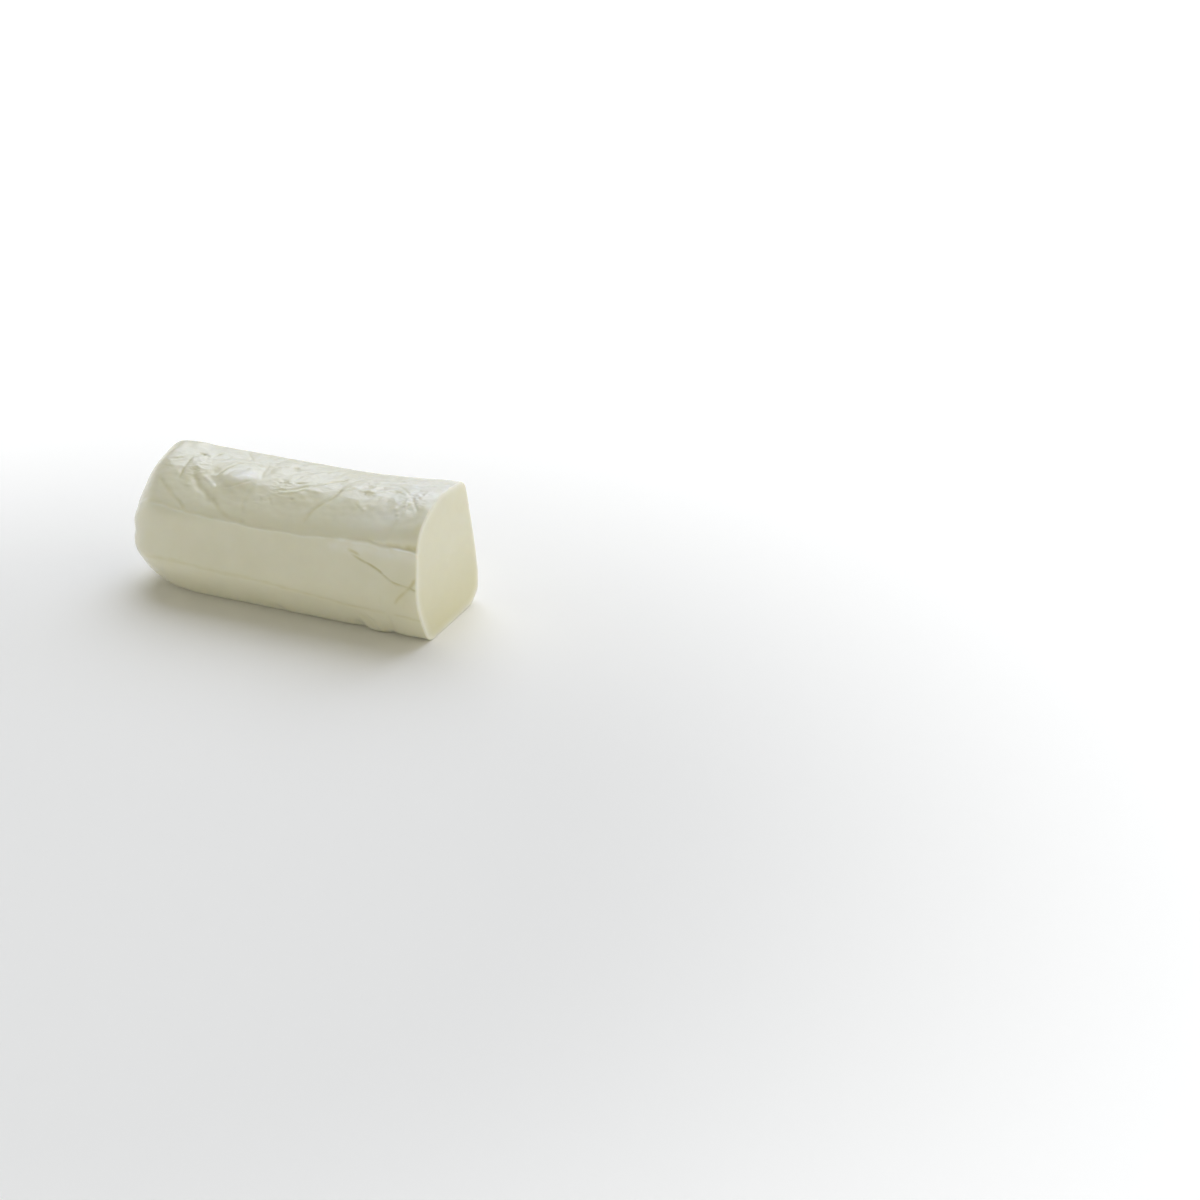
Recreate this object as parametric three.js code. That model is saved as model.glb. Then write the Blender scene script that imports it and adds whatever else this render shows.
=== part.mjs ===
import * as THREE from "three";

// A log of fresh mozzarella that set in a film casing and was then cut once across.
// It lies along X with the cut face at +X, its front at -Y and its flat underside on Z = 0.
// Lengths are millimetres and angles are degrees.
// A place on the skin is [along, round]: the distance from the cut face, and the angle round the
// log's axis, where -90 is the underside, 0 the back, 90 the top, 180 the front and 270 the underside.

const LOG_LENGTH = 140.7;
const AXIS_HEIGHT = 28.8;

// The casing pressed the log into seven flats. Each faces one way and stands off the axis,
// first at the cut and then TAPER_LENGTH further on.
const TAPER_LENGTH = 120;
const FLATS = [
  { faces: [271, 271], stands: [29.0, 31.0] }, // underside
  { faces: [205.5, 218.5], stands: [28.8, 30.9] }, // lower front
  { faces: [173, 168], stands: [26.8, 26.5] }, // front
  { faces: [120.5, 124], stands: [30.1, 26.2], flare: 2.7 }, // upper front
  { faces: [84.5, 96.5], stands: [29.9, 28.3], flare: 3.4 }, // top
  { faces: [12, 12], stands: [22.6, 19.9] }, // back
  { faces: [328.5, 328.5], stands: [34.6, 33.0] }, // lower back
];
const EDGE_SHARPNESS = 14; // power of the blend between flats: the larger, the sharper the edges
const FLARE_LENGTH = 24.5; // the upper flats rise by their flare over this length up to the cut

// The far end is a blunt dome. It is deepest at the lower front, and its tip lies off the axis.
const DOME_DEPTH = 23.9;
const DOME_DEPTH_TO_BACK = -7.9;
const DOME_DEPTH_TO_TOP = -8.3;
const DOME_SQUARENESS = 2.4;
const DOME_TIP_BACK = -5.2;
const DOME_TIP_UP = -8.6;

// The cut leaves a small round on the rim of the skin.
const RIM_ROUND = 1.1;
const RIM_STEPS = 3;

// Relief. Each crease runs through its places. Rise is the height of its crest (or, below zero, the
// depth of its groove), step is how far the skin on its upper side falls back, width is its half width.
const CREASES = [
  // the long seam of the casing, broken near the cut
  { rise: 0.15, step: 0.9, width: 1.6, at: [[-2, 151.5], [12, 150.5]] },
  { rise: 0.15, step: 0.6, width: 1.6, at: [[17, 150], [35, 151], [54, 155], [93, 154], [131, 145]] },
  // the faint crease along the lower front
  { rise: -0.3, step: 0, width: 1.5, at: [[-2, 214], [18, 210], [54, 206], [99, 199], [125, 197]] },
  // folds of the far third
  { rise: -0.6, step: 0, width: 1.5, at: [[124, 125], [118.6, 136], [112.6, 145]] },
  { rise: -0.6, step: 0.3, width: 1.5, at: [[118.5, 96], [118.5, 110], [117.8, 123]] },
  { rise: -0.4, step: 0, width: 1.4, at: [[129, 95], [123, 92]] },
  { rise: -0.8, step: 0, width: 1.4, at: [[116, 80], [110.8, 84], [108.7, 75], [106.3, 68]] },
  { rise: 0.8, step: 0, width: 1.5, at: [[107, 113], [102.7, 118], [99.1, 124]] },
  { rise: -0.6, step: 0, width: 1.7, at: [[106.5, 122], [97, 139], [86.4, 151], [80, 156]] },
  // the rim of the pillow, above and below
  { rise: -0.8, step: 0.2, width: 1.5, at: [[99.5, 110], [99, 97], [93, 84], [84, 88]] },
  { rise: 0.5, step: 0, width: 1.5, at: [[98.5, 124], [90, 120], [84.4, 110]] },
  // folds of the middle
  { rise: -0.6, step: 0, width: 1.4, at: [[97.4, 65], [91.3, 80]] },
  { rise: -0.5, step: 0, width: 1.5, at: [[82.7, 105], [82, 132], [80.8, 142]] },
  { rise: 0.7, step: 0, width: 1.4, at: [[71, 119], [62, 114], [54, 107], [46, 94]] },
  { rise: -0.7, step: 0, width: 1.4, at: [[62, 108], [54.4, 100], [44, 82]] },
  { rise: -0.8, step: -0.4, width: 1.5, at: [[53, 144], [52, 134], [47, 118], [43, 98]] },
  // folds near the cut
  { rise: -0.4, step: 0, width: 1.5, at: [[44.6, 104], [34.6, 98], [24.7, 110], [17, 117]] },
  { rise: 0.6, step: 0, width: 1.4, at: [[13.6, 123], [12.8, 112], [10.9, 100]] },
  { rise: -0.3, step: 0, width: 1.6, at: [[10, 124], [14.4, 138], [15.5, 150]] },
  // the yellowed crack under the seam, and the one that crosses it
  { rise: -0.4, step: 0, width: 1.3, at: [[31.4, 159], [20.9, 168], [14.1, 177], [8.5, 183], [0, 184]] },
  { rise: -0.3, step: 0, width: 1.3, at: [[1, 172], [3.9, 184], [6.9, 192], [12.6, 210]] },
];

// Swellings and hollows: a rise at a place, fading over a length along the log and one round it.
const SWELLS = [
  { rise: 1.3, at: [90, 101], fades: [7, 6] }, // the pillow
  { rise: 0.7, at: [76, 104], fades: [6, 8] },
  { rise: 0.6, at: [112, 104], fades: [7, 7] },
  { rise: -0.6, at: [112, 126], fades: [8, 6] },
  { rise: -0.5, at: [61, 124], fades: [7, 7] },
  { rise: 0.5, at: [34, 118], fades: [9, 8] },
  { rise: -0.4, at: [24, 140], fades: [9, 6] },
  { rise: -1.0, at: [32, 236], fades: [3.5, 4] }, // the notch in the lower front edge
  { rise: 0.8, at: [23, 238], fades: [6, 4] },
  { rise: -0.4, at: [13.5, 238], fades: [2.5, 4] },
];

// The back took the same kind of folds. They are spread over it by the golden ratio.
const BACK_FOLDS = 15;
const BACK_ROUND = [-55, 55];
const BACK_ALONG = [4, 126];
const BACK_FOLD_HALF_LENGTH = [5, 11];
const BACK_FOLD_LEAN = [-65, 65];
const BACK_FOLD_BOW = [-5, 5];
const BACK_FOLD_DEPTH = 0.6;
const BACK_FOLD_WIDTH = 1.7;
const GOLDEN = 0.618034;

// Flutes run along the lower back edge, and pleats gather towards the tip of the dome.
const FLUTE_CENTRE = -42;
const FLUTE_FADE = 15;
const FLUTE_PITCH = 14;
const FLUTE_HEIGHT = 0.3;
const PLEATS = 11;
const PLEAT_HEIGHT = 0.5;

// The mesh has closer columns where the skin is folded, and wider ones elsewhere.
const COLUMN_STEPS = [
  { from: -90, to: 62, step: 6.6 },
  { from: 62, to: 166, step: 2.3 },
  { from: 166, to: 270, step: 4 },
];
const BODY_ROWS = 42;
const DOME_ROWS = 11;

const MEAN_RADIUS = 28;
const MM_PER_DEGREE = THREE.MathUtils.degToRad(MEAN_RADIUS); // on the skin

function mix(ends, share) {
  return ends[0] + (ends[1] - ends[0]) * share;
}

function fade(distance, length) {
  return Math.exp(-((distance / length) ** 2));
}

// How far the skin stands off the axis, before its relief. Each flat limits the radius to its own
// plane, and the power blend of those limits rounds the edges where two flats meet.
function radiusAt(along, round) {
  const taper = along / TAPER_LENGTH;
  let blend = 0;
  for (const flat of FLATS) {
    const flare = (flat.flare ?? 0) * (fade(along, FLARE_LENGTH) - 1);
    const stands = mix(flat.stands, taper) + flare;
    const towards = Math.cos(THREE.MathUtils.degToRad(round - mix(flat.faces, taper)));
    blend += (Math.max(towards, 0) / stands) ** EDGE_SHARPNESS;
  }
  return blend ** (-1 / EDGE_SHARPNESS);
}

// The creases of the back: short crooked lines, every third one a crest and the others grooves.
function backCreases() {
  const folds = [];
  for (let i = 1; i <= BACK_FOLDS; i++) {
    const spread = (range, stride) => mix(range, (i * stride * GOLDEN) % 1);
    const along = spread(BACK_ALONG, 1);
    const round = mix(BACK_ROUND, i / BACK_FOLDS);
    const lean = THREE.MathUtils.degToRad(spread(BACK_FOLD_LEAN, 2));
    const half = spread(BACK_FOLD_HALF_LENGTH, 3);
    const dAlong = half * Math.cos(lean);
    const dRound = (half * Math.sin(lean)) / MM_PER_DEGREE;
    const middle = round + spread(BACK_FOLD_BOW, 5);
    folds.push({
      rise: i % 3 ? -BACK_FOLD_DEPTH : BACK_FOLD_DEPTH,
      step: 0,
      width: BACK_FOLD_WIDTH,
      at: [[along - dAlong, round - dRound], [along, middle], [along + dAlong, round + dRound]],
    });
  }
  return folds;
}

// The part of a crease's relief at a place: a bell over its crest line, and a step that falls back on
// the upper side. Both fade with the distance from the nearest point of the line.
function creaseRelief(crease, along, round) {
  let nearest = Infinity;
  let side = 0;
  for (let i = 1; i < crease.at.length; i++) {
    const [alongA, roundA] = crease.at[i - 1];
    const [alongB, roundB] = crease.at[i];
    const line = new THREE.Vector2(alongB - alongA, (roundB - roundA) * MM_PER_DEGREE);
    const point = new THREE.Vector2(along - alongA, (round - roundA) * MM_PER_DEGREE);
    const share = THREE.MathUtils.clamp(point.dot(line) / line.lengthSq(), 0, 1);
    const distance = point.distanceTo(line.clone().multiplyScalar(share));
    if (distance < nearest) {
      nearest = distance;
      side = line.cross(point);
    }
  }
  const across = Math.sign(side) * (nearest / crease.width);
  return (crease.rise + crease.step * across) * fade(nearest, crease.width);
}

const creases = [...CREASES, ...backCreases()];

// The skin's relief outwards. It dies away as the dome narrows, where the pleats take its place.
function reliefAt(along, round, narrowing) {
  let relief = 0;
  for (const crease of creases) {
    relief += creaseRelief(crease, along, round);
  }
  for (const swell of SWELLS) {
    const apart = (round - swell.at[1]) * MM_PER_DEGREE;
    relief += swell.rise * fade(along - swell.at[0], swell.fades[0]) * fade(apart, swell.fades[1]);
  }
  const flute = Math.cos(((round - FLUTE_CENTRE) / FLUTE_PITCH) * Math.PI * 2);
  relief += FLUTE_HEIGHT * flute * fade(round - FLUTE_CENTRE, FLUTE_FADE);
  const pleat = Math.cos(THREE.MathUtils.degToRad(PLEATS * round));
  const gathered = (1 - narrowing) * Math.min(1, 2 * narrowing);
  return relief * narrowing + PLEAT_HEIGHT * pleat * gathered;
}

// A point of the skin. Body is 0 at the cut and 1 where the dome begins. Arc is the angle run over the
// dome, 0 where it begins and 90 at its tip. Inset draws the skin in at the rim.
function skinPoint(round, body, arc, inset) {
  const turn = THREE.MathUtils.degToRad(round);
  const depth = DOME_DEPTH + DOME_DEPTH_TO_BACK * Math.cos(turn) + DOME_DEPTH_TO_TOP * Math.sin(turn);
  const over = THREE.MathUtils.degToRad(arc);
  const narrowing = Math.cos(over) ** (2 / DOME_SQUARENESS);
  const along = body * (LOG_LENGTH - depth) + depth * Math.sin(over) ** (2 / DOME_SQUARENESS);
  const relief = reliefAt(along, round, narrowing);
  const radius = (radiusAt(along, round) - inset) * narrowing + relief;
  const tip = 1 - narrowing;
  const point = new THREE.Vector3(
    -along,
    radius * Math.cos(turn) + DOME_TIP_BACK * tip,
    Math.max(AXIS_HEIGHT + radius * Math.sin(turn) + DOME_TIP_UP * tip, 0)
  );
  return { point, relief };
}

function columnAngles() {
  const angles = [];
  for (const { from, to, step } of COLUMN_STEPS) {
    const count = Math.round((to - from) / step);
    for (let i = 0; i < count; i++) {
      angles.push(from + ((to - from) * i) / count);
    }
  }
  return angles;
}

// The rings of the skin, from the rim's inner edge on the cut face to the last one round the tip.
function rings(angles) {
  const rows = [];
  for (let i = 0; i <= RIM_STEPS; i++) {
    const turn = (Math.PI / 2) * (i / RIM_STEPS);
    const depth = RIM_ROUND * (1 - Math.cos(turn));
    const inset = RIM_ROUND * (1 - Math.sin(turn));
    const bodyAt = depth / (LOG_LENGTH - DOME_DEPTH);
    rows.push(angles.map((round) => skinPoint(round, bodyAt, 0, inset)));
  }
  const rimEnd = RIM_ROUND / (LOG_LENGTH - DOME_DEPTH);
  for (let i = 1; i <= BODY_ROWS; i++) {
    const body = rimEnd + (1 - rimEnd) * (i / BODY_ROWS);
    rows.push(angles.map((round) => skinPoint(round, body, 0, 0)));
  }
  for (let i = 1; i < DOME_ROWS; i++) {
    rows.push(angles.map((round) => skinPoint(round, 1, (90 * i) / DOME_ROWS, 0)));
  }
  return rows;
}

// One closed skin: rings joined by quads, a fan over the cut face and a fan over the tip. Each quad is
// split along the diagonal whose ends have the more even relief, so that slanting folds stay smooth.
function logGeometry() {
  const angles = columnAngles();
  const rows = rings(angles);
  const across = angles.length;
  const places = rows.flat();
  const points = places.map((place) => place.point);
  const faceCentre = points.push(new THREE.Vector3(0, 0, AXIS_HEIGHT)) - 1;
  const tip = points.push(skinPoint(0, 1, 90, 0).point) - 1;
  const unevenness = (a, b) => Math.abs(places[a].relief - places[b].relief);
  const index = [];
  for (let i = 0; i < across; i++) {
    const next = (i + 1) % across;
    index.push(faceCentre, i, next);
    for (let row = 1; row < rows.length; row++) {
      const [a, b] = [(row - 1) * across + i, (row - 1) * across + next];
      const [c, d] = [row * across + next, row * across + i];
      if (unevenness(a, c) <= unevenness(b, d)) {
        index.push(a, d, c, a, c, b);
      } else {
        index.push(a, d, b, b, d, c);
      }
    }
    const last = (rows.length - 1) * across;
    index.push(last + next, last + i, tip);
  }
  const geometry = new THREE.BufferGeometry().setFromPoints(points);
  geometry.setIndex(index);
  geometry.computeVertexNormals();
  return geometry;
}

// Sets the middle of the footprint over the origin, with the underside on Z = 0.
function centreOnFootprint(geometry) {
  geometry.computeBoundingBox();
  const { min, max } = geometry.boundingBox;
  geometry.translate(-(min.x + max.x) / 2, -(min.y + max.y) / 2, -min.z);
  return geometry;
}

const freshMozzarella = new THREE.MeshStandardMaterial({
  color: 0xf0eddc,
  roughness: 0.4,
  metalness: 0,
});

const log = new THREE.Mesh(centreOnFootprint(logGeometry()), freshMozzarella);
log.name = "mozzarella_log";

const part = new THREE.Group();
part.add(log);

export default part;
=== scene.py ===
"""A log of fresh mozzarella that set in a film casing and was then cut once across, for Blender 4.5.

The log lies along X with its cut face at +X. Shapes are worked out in millimetres and degrees. A place
on the skin is (along, round): the distance from the cut face, and the angle round the log's axis, where
-90 is the underside, 0 the back, 90 the top, 180 the front and 270 the underside again.
"""

import math

import bpy
import numpy as np
from bpy.props import FloatProperty, FloatVectorProperty, IntProperty, PointerProperty
from bpy.types import Operator, Panel, PropertyGroup
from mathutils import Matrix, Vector


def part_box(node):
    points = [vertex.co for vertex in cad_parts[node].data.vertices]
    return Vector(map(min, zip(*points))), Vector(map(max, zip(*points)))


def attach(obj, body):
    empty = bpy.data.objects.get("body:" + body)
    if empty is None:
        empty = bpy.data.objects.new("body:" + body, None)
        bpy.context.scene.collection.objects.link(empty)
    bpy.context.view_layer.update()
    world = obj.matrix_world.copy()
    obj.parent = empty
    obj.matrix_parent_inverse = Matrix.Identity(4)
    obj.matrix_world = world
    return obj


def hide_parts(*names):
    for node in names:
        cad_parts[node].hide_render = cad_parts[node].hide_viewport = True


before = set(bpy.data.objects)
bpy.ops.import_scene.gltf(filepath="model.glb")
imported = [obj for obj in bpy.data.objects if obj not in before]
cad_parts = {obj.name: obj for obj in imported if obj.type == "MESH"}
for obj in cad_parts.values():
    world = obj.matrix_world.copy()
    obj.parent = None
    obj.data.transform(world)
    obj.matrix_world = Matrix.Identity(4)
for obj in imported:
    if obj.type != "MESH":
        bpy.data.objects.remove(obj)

bl_info = {
    "name": "Mozzarella Log",
    "version": (1, 0, 0),
    "blender": (4, 5, 0),
    "location": "3D View > Sidebar > Mozzarella",
    "description": "Builds a cut log of fresh mozzarella on a plain pale floor",
    "category": "Add Mesh",
}

NODE = "mozzarella_log"
NODE_LOW, NODE_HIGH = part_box(NODE)
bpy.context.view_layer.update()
MM = 0.001

# ---------------------------------------------------------------- the log's form, as its solid has it

AXIS_HEIGHT = 28.8
TAPER_LENGTH = 120.0
# Each flat: which way it faces and how far it stands off the axis, at the cut and TAPER_LENGTH on,
# and how far it rises towards the cut.
FLATS = [
    ((271.0, 271.0), (29.0, 31.0), 0.0),  # underside
    ((205.5, 218.5), (28.8, 30.9), 0.0),  # lower front
    ((173.0, 168.0), (26.8, 26.5), 0.0),  # front
    ((120.5, 124.0), (30.1, 26.2), 2.7),  # upper front
    ((84.5, 96.5), (29.9, 28.3), 3.4),  # top
    ((12.0, 12.0), (22.6, 19.9), 0.0),  # back
    ((328.5, 328.5), (34.6, 33.0), 0.0),  # lower back
]
EDGE_SHARPNESS = 14.0
FLARE_LENGTH = 24.5
DOME_DEPTH = 23.9
DOME_DEPTH_TO_BACK = -7.9
DOME_DEPTH_TO_TOP = -8.3
DOME_SQUARENESS = 2.4
DOME_TIP_BACK = -5.2
DOME_TIP_UP = -8.6
MEAN_RADIUS = 28.0
UNDERSIDE = -90.0  # where round begins, and ends a full turn on
SPAN_STEPS = 5  # straight steps in each span of a fold's curve
END_TAPER = 3.5  # mm over which a fold dies out at its ends
SHORT_END_TAPER = 0.4  # of a fold's length, where that is less

# ---------------------------------------------------------------- relief that the casing left

# Each fold: (depth of its groove, half width, height of its lip, length over which the lip sinks back,
# tint), then its places. A negative depth is a crest. The tint yellows the groove, partly with the cheese's
# own yellow and partly with painted shade; a negative tint pales it with a painted highlight. The lip is on
# the side of greater round where the fold runs towards the dome, and on the cut's side where it runs
# towards greater round.
FOLDS = [
    # the casing's seam: a ledge with a painted highlight along its edge and a broad, fainter one below it,
    # under a sunk strip whose yellow at the cut is partly painted shade, ever fainter to the dome
    ((0.00, 0.45, 0.48, 4.5, 0.00), [(-6, 152), (0, 152), (3, 151), (6.5, 151), (9, 151), (14, 151.5)]),
    ((-0.20, 0.55, 0.00, 4.0, -0.85), [(-6, 153), (0, 153), (3, 152.2), (6.5, 152), (9, 152), (13, 152)]),
    ((0.00, 2.60, 0.00, 4.0, -0.30), [(-6, 157), (6.5, 156), (19.5, 157), (32, 158), (42, 158)]),
    ((0.12, 1.05, 0.00, 4.0, 1.05), [(-6, 149.5), (1, 149.5), (4.5, 149.2), (7.5, 149)]),
    ((0.06, 0.70, 0.00, 4.0, 0.55), [(3, 149.5), (7, 149.3), (12, 149.5), (16, 149.8)]),
    ((0.00, 0.70, 0.50, 4.0, 0.06), [(11, 151.5), (16, 151.5), (19.5, 150.5), (23.5, 149.5), (31, 150),
                                     (36.5, 150.5)]),
    ((-0.12, 0.90, 0.00, 4.0, -0.42), [(10, 153.5), (16, 154), (19.5, 153), (23.5, 152.5), (31, 153),
                                       (39, 153.5)]),
    ((0.03, 0.60, 0.36, 4.0, 0.06), [(34, 151), (44, 152), (51, 154), (60, 154), (67, 155), (72, 155)]),
    ((-0.08, 0.55, 0.00, 4.0, -0.25), [(36, 152.5), (44, 153.5), (51, 155.5), (60, 155.5), (67, 156.5)]),
    ((0.10, 0.60, 0.27, 4.0, 0.20), [(64, 155), (76, 155), (84, 154), (97, 154), (105.5, 153), (113.5, 152),
                                     (120.5, 150), (130, 147), (137, 136)]),
    ((-0.10, 0.55, 0.00, 4.0, -0.25), [(64, 156.5), (76, 156.5), (84, 155.5), (97, 155.5), (105.5, 154.5),
                                      (113.5, 153.5), (120.5, 151.5), (130, 148.5)]),
    # the faint crease along the lower front
    ((0.20, 0.60, 0.12, 3.0, 0.50), [(-6, 215), (0.5, 215), (5.5, 214), (10, 213), (13.6, 214)]),
    ((0.19, 0.60, 0.12, 3.0, 0.45), [(14.5, 213), (24, 212), (34, 211), (44, 208), (54, 206), (67, 203),
                                     (81, 201), (90, 200.5), (109, 198), (119, 198), (129, 203)]),
    # far third: two grooves, and a broad valley that narrows down to the seam
    ((0.28, 0.85, 0.10, 4.0, 0.34), [(127, 120), (122, 130), (119.3, 135), (116.2, 140), (113, 144),
                                     (107, 153)]),
    ((0.34, 0.80, 0.30, 5.0, 0.40), [(118.3, 86), (117.7, 95), (117.6, 108), (117.3, 114), (117.4, 122)]),
    ((0.34, 0.75, 0.10, 4.0, 0.30), [(120, 89), (124.4, 95), (129, 96)]),
    ((0.50, 2.00, 0.00, 4.0, 0.35), [(114, 103), (109.7, 118), (106.2, 127), (101.7, 133), (97.7, 139),
                                     (94.5, 143)]),
    ((0.34, 1.10, 0.12, 4.0, 0.30), [(97.7, 139), (94.5, 143), (90.7, 149), (86, 152), (81, 152),
                                     (77.5, 154)]),
    # a forked hollow on top, with a crest at its foot whose brightness is partly a painted highlight
    ((0.34, 0.80, 0.00, 4.0, 0.75), [(110, 86), (112.2, 83), (114.1, 82), (118, 80)]),
    ((0.28, 0.80, 0.00, 4.0, 0.45), [(106, 73), (108.2, 77), (109.3, 81), (110, 86)]),
    ((0.04, 0.70, -0.34, 5.0, 0.30), [(110, 84), (107.6, 94), (105.3, 102), (103, 111)]),
    ((-0.28, 0.90, 0.00, 4.0, -0.25), [(107.5, 112), (104.8, 115), (102, 118), (99.8, 123), (98, 126)]),
    # the pillow: its sunk upper rim, its lower arc and a dent in it
    ((0.30, 0.80, 0.34, 5.0, 0.45), [(83, 89), (86.5, 85), (91.1, 83), (95.8, 87), (98.5, 95), (100.1, 104),
                                     (102.4, 111)]),
    ((0.36, 0.80, 0.00, 4.0, 0.20), [(84, 89), (82.2, 98), (81, 108)]),
    ((0.24, 0.70, 0.00, 4.0, 0.20), [(99, 63), (94.9, 72), (91, 80)]),
    ((0.12, 0.55, 0.14, 4.5, 0.10), [(83.5, 109), (87.6, 116), (92.3, 122), (96, 123)]),
    ((0.10, 0.60, 0.00, 4.0, 0.15), [(82, 105), (86.5, 104), (90.5, 104)]),
    ((0.28, 0.90, 0.00, 4.0, 0.20), [(82.5, 79), (83, 87), (81.7, 97)]),
    ((0.15, 1.00, 0.12, 4.0, 0.15), [(82.3, 112), (82.5, 124), (83, 131), (82.6, 138), (81, 148)]),
    # middle: short dark dents over a long fold, and a crest below it
    ((0.26, 0.90, 0.00, 4.0, 0.60), [(69.5, 75.5), (73.2, 79)]),
    ((0.24, 0.60, 0.00, 4.0, 0.30), [(73.8, 78), (78, 80.5)]),
    ((0.20, 0.60, 0.00, 4.0, 0.20), [(68.4, 68), (72, 70.5)]),
    ((0.24, 0.60, 0.00, 4.0, 0.15), [(55.3, 75), (59.7, 76)]),
    ((0.26, 0.60, 0.00, 4.0, 0.15), [(73, 97.5), (77.5, 99)]),
    ((0.32, 0.60, 0.00, 4.0, 0.15), [(65, 89), (66.1, 96), (67.2, 100)]),
    ((0.36, 0.70, 0.00, 4.0, 0.25), [(58.6, 99), (60.8, 101), (64.2, 103), (67.8, 105)]),
    ((0.44, 0.90, 0.44, 3.0, 0.50), [(44.5, 80), (47, 87), (51.3, 95), (56.4, 103), (61.2, 109), (65.7, 114),
                                     (71, 116)]),
    ((-0.30, 0.70, 0.00, 4.0, 0.00), [(56, 109.5), (60.1, 111), (62.1, 114), (64.8, 117), (67.6, 118),
                                      (71, 116)]),
    ((0.18, 0.60, 0.10, 3.0, 0.15), [(73.7, 123), (71.3, 130), (69.4, 135)]),
    ((0.14, 0.60, 0.10, 3.0, 0.10), [(77.5, 124), (76, 129), (75.6, 134)]),
    # the folded edge that climbs from the seam to the top, and what runs on from it
    ((0.36, 1.00, 0.24, 4.0, 0.45), [(43, 97), (44, 105), (45.5, 116), (48.4, 124), (51.5, 134), (52.1, 140),
                                     (52.8, 147)]),
    ((0.00, 1.40, 0.75, 5.0, 0.00), [(46, 106), (42, 104), (38.7, 100), (34, 103), (29, 105)]),
    ((0.06, 0.80, 0.42, 5.0, 0.15), [(36, 101), (30.3, 103), (26.8, 102), (21.6, 97), (18.3, 99),
                                     (12.3, 104)]),
    # near the cut: a knot of small folds, a crest in it with a painted highlight, and a soft ledge down to
    # the seam
    ((0.20, 0.65, 0.00, 4.0, 0.25), [(22.5, 85), (18.2, 93), (15.4, 98), (12.9, 102), (10.8, 106), (6.6, 116),
                                     (4, 121)]),
    ((0.18, 0.60, 0.00, 4.0, 0.15), [(12, 104.5), (13.4, 109), (15, 116)]),
    ((0.22, 0.70, 0.00, 4.0, 0.10), [(14.6, 100), (9.2, 107)]),
    ((-0.36, 0.80, 0.00, 4.0, -0.30), [(8, 113), (11.3, 111), (12.1, 114), (14, 118)]),
    ((0.08, 0.90, 0.34, 5.0, 0.10), [(10.4, 117), (11.1, 126), (12.1, 133), (13.3, 140), (15.1, 146),
                                     (16.6, 152)]),
    ((0.10, 0.60, 0.06, 3.0, 0.20), [(35, 117), (31.7, 122), (28.8, 125)]),
    # the cracks under the seam and across the lower front at the cut, their yellow partly their own and
    # partly painted shade
    ((0.26, 0.70, 0.00, 4.0, 0.95), [(25, 162.5), (28.7, 160), (32, 158.5)]),
    ((0.42, 0.40, 0.12, 3.0, 1.15), [(14, 177), (17.3, 172), (21.2, 168), (24.9, 166), (30, 162)]),
    ((0.30, 0.42, 0.08, 3.0, 0.90), [(-6, 186), (0, 185), (3.6, 183), (7.8, 182), (10.1, 181), (12.2, 179),
                                     (16.5, 174)]),
    ((0.20, 0.80, 0.00, 4.0, 0.85), [(0, 171), (0.8, 174), (3.1, 182), (5.2, 187), (8.9, 196), (11.5, 203)]),
    ((0.14, 0.65, 0.00, 4.0, 0.35), [(5.4, 194), (6.1, 200), (6.8, 206)]),
    ((0.07, 0.60, 0.00, 4.0, 0.15), [(16, 192), (17, 199), (17.2, 207)]),
    # the back: a long crease, a shorter one below it, and a folded edge across them
    ((0.22, 0.75, 0.20, 4.0, 0.25), [(-6, 38), (12, 36), (30, 40), (52, 33), (75, 36), (98, 30), (118, 35)]),
    ((0.18, 0.65, 0.16, 3.0, 0.18), [(8, -22), (30, -26), (49, -21), (66, -27), (84, -25)]),
    ((0.34, 1.00, 0.36, 5.0, 0.25), [(61, 54), (62, 46), (58, 36), (60, 22), (54, 8), (57, -8)]),
    # the lower edge beside the notch
    ((-0.32, 1.10, 0.00, 4.0, 0.00), [(26.5, 216), (22.6, 222), (21.4, 229), (21, 242)]),
    ((0.16, 0.70, 0.05, 4.0, 0.25), [(29.5, 217), (27, 223), (25, 229), (24.4, 236)]),
    ((-0.18, 0.80, 0.00, 4.0, 0.00), [(30.5, 221), (28.6, 226), (27.4, 232), (27, 238)]),
    ((0.22, 0.90, 0.00, 4.0, 0.10), [(15.2, 213), (15.1, 223), (15.8, 236)]),
]

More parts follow.
